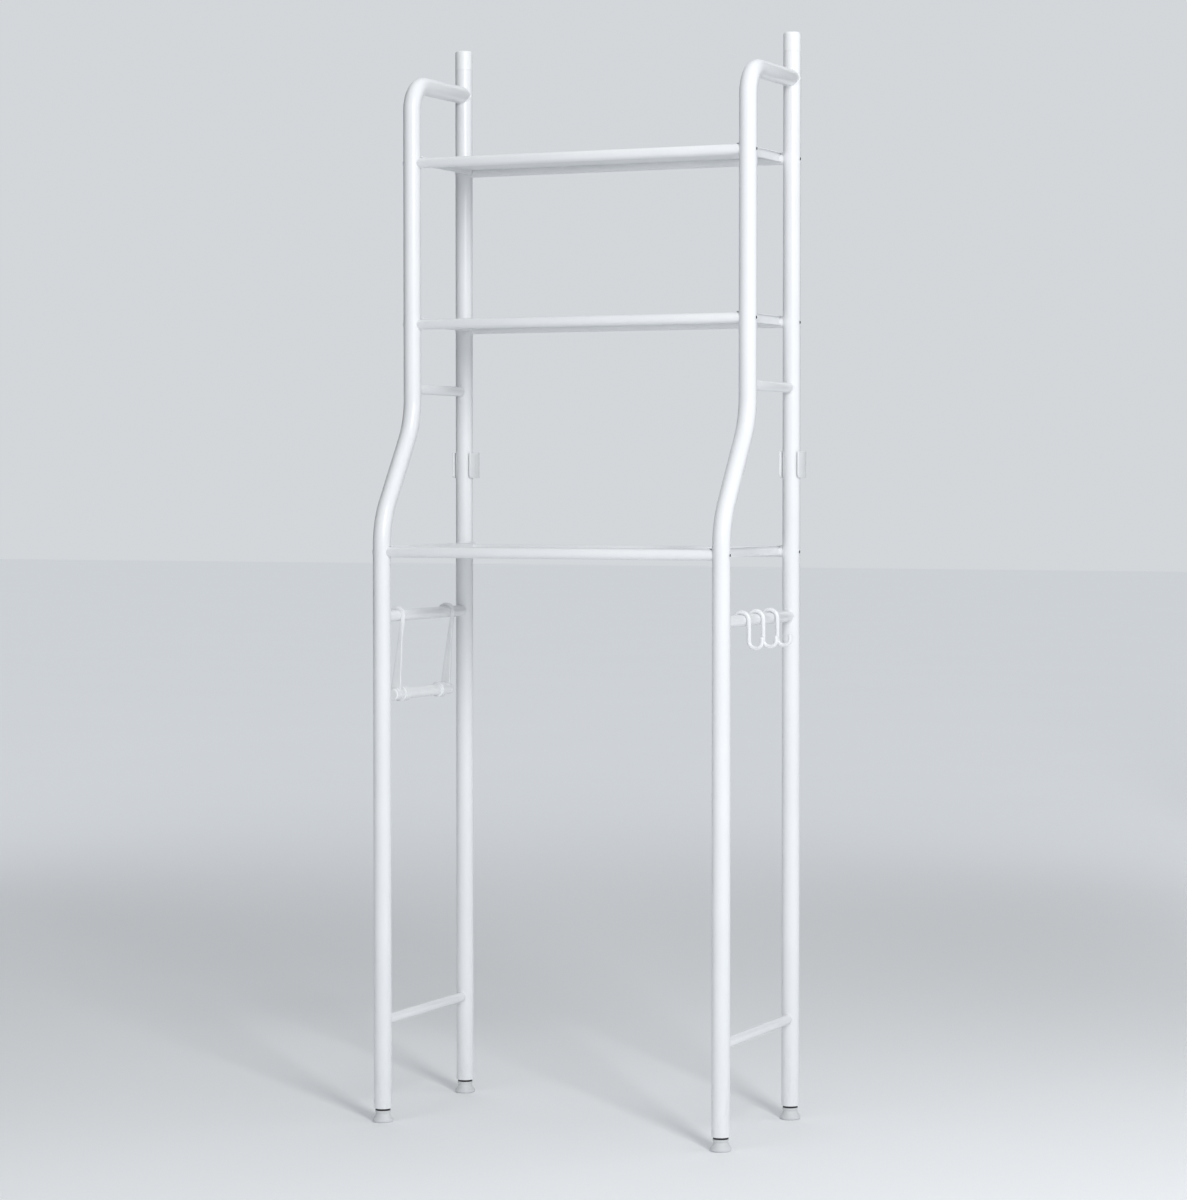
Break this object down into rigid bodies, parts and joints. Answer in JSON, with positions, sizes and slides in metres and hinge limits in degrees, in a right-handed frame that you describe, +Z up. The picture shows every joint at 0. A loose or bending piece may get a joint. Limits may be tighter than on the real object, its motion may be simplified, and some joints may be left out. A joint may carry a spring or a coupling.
{
  "type": "over the toilet storage rack",
  "caption": "Free-standing white tube rack that straddles a toilet, with flat shelves between two bent side frames, wire hooks on one side and a paper roll holder on the other.",
  "frame": {"origin": "on the floor, at the middle of the whole rack's box, hooks and wall pads included", "axes": "+Z up, +X towards the side frame with the hooks, -Y towards the front; the rear posts stand in one plane of constant Y"},
  "size_m": [0.5588, 0.2898, 1.52],
  "materials": {
    "frame_coat": "smooth semi-gloss white powder coat on steel tube",
    "panel_coat": "semi-gloss white powder coat on steel sheet",
    "bolt_coat": "white painted flat head with a dark hexagon socket",
    "wire_coat": "glossy white coating on bent wire",
    "white_plastic": "moulded, lightly glossy white",
    "foot_plastic": "moulded pale grey",
    "black_plastic": "moulded black",
    "zinc_steel": "bright zinc plate",
    "foam_tape": "closed-cell foam tape"
  },
  "bodies": {
    "rack": {"left_front_post": "frame_coat", "left_rear_post": "frame_coat", "left_mid_crossbar": "frame_coat", "left_bottom_crossbar": "frame_coat", "left_rear_cap": "white_plastic", "left_wall_clip": "white_plastic", "left_wall_pad": "foam_tape", "right_front_post": "frame_coat", "right_rear_post": "frame_coat", "right_mid_crossbar": "frame_coat", "right_bottom_crossbar": "frame_coat", "right_rear_cap": "white_plastic", "right_wall_clip": "white_plastic", "right_wall_pad": "foam_tape", "left_paper_bar": "frame_coat", "right_hook_bar": "frame_coat", "bottom_shelf_front_rail": "frame_coat", "bottom_shelf_rear_rail": "frame_coat", "bottom_shelf_left_channel": "frame_coat", "bottom_shelf_right_channel": "frame_coat", "bottom_shelf_panel": "panel_coat", "bottom_shelf_nut_plugs": "zinc_steel", "bottom_shelf_bolts": "bolt_coat", "middle_shelf_front_rail": "frame_coat", "middle_shelf_rear_rail": "frame_coat", "middle_shelf_left_channel": "frame_coat", "middle_shelf_right_channel": "frame_coat", "middle_shelf_panel": "panel_coat", "middle_shelf_nut_plugs": "zinc_steel", "middle_shelf_bolts": "bolt_coat", "top_shelf_front_rail": "frame_coat", "top_shelf_rear_rail": "frame_coat", "top_shelf_left_channel": "frame_coat", "top_shelf_right_channel": "frame_coat", "top_shelf_panel": "panel_coat", "top_shelf_nut_plugs": "zinc_steel", "top_shelf_bolts": "bolt_coat", "left_front_foot_plug": "black_plastic", "left_rear_foot_plug": "black_plastic", "right_front_foot_plug": "black_plastic", "right_rear_foot_plug": "black_plastic"},
    "left_front_foot": {"left_front_foot_pad": "foot_plastic", "left_front_foot_stud": "zinc_steel"},
    "left_rear_foot": {"left_rear_foot_pad": "foot_plastic", "left_rear_foot_stud": "zinc_steel"},
    "right_front_foot": {"right_front_foot_pad": "foot_plastic", "right_front_foot_stud": "zinc_steel"},
    "right_rear_foot": {"right_rear_foot_pad": "foot_plastic", "right_rear_foot_stud": "zinc_steel"},
    "front_hook": {"front_hook": "wire_coat"},
    "middle_hook": {"middle_hook": "wire_coat"},
    "rear_hook": {"rear_hook": "wire_coat"},
    "paper_holder": {"paper_front_arm": "white_plastic"},
    "paper_release_arm": {"paper_rear_arm": "white_plastic"},
    "paper_roller": {"paper_roller_front_plug": "white_plastic", "paper_roller_tube": "white_plastic", "paper_roller_rear_plug": "white_plastic"}
  },
  "joints": [
    {"name": "left_front_foot_screw_out", "type": "slide", "parent": "rack", "child": "left_front_foot", "axis": [0, 0, -1], "range_m": [0, 0.01]},
    {"name": "left_rear_foot_screw_out", "type": "slide", "parent": "rack", "child": "left_rear_foot", "axis": [0, 0, -1], "range_m": [0, 0.01]},
    {"name": "right_front_foot_screw_out", "type": "slide", "parent": "rack", "child": "right_front_foot", "axis": [0, 0, -1], "range_m": [0, 0.01]},
    {"name": "right_rear_foot_screw_out", "type": "slide", "parent": "rack", "child": "right_rear_foot", "axis": [0, 0, -1], "range_m": [0, 0.01]},
    {"name": "front_hook_swing", "type": "hinge", "parent": "rack", "child": "front_hook", "pos_m": [0.2464, -0.05965, 0.7075], "axis": [0, 1, 0], "range_deg": [-90, 90]},
    {"name": "middle_hook_swing", "type": "hinge", "parent": "rack", "child": "middle_hook", "pos_m": [0.2464, -0.00745, 0.7075], "axis": [0, 1, 0], "range_deg": [-90, 90]},
    {"name": "rear_hook_swing", "type": "hinge", "parent": "rack", "child": "rear_hook", "pos_m": [0.2464, 0.04475, 0.7075], "axis": [0, 1, 0], "range_deg": [-90, 90]},
    {"name": "paper_holder_swing", "type": "hinge", "parent": "rack", "child": "paper_holder", "pos_m": [-0.2646, -0.08665, 0.7075], "axis": [0, 1, 0], "range_deg": [-60, 60]},
    {"name": "paper_arm_release", "type": "slide", "parent": "paper_holder", "child": "paper_release_arm", "axis": [0, 1, 0], "range_m": [0, 0.03]},
    {"name": "paper_roller_spin", "type": "hinge", "parent": "paper_holder", "child": "paper_roller", "pos_m": [-0.2661, -0.01015, 0.5965], "axis": [0, 1, 0], "continuous": true}
  ]
}
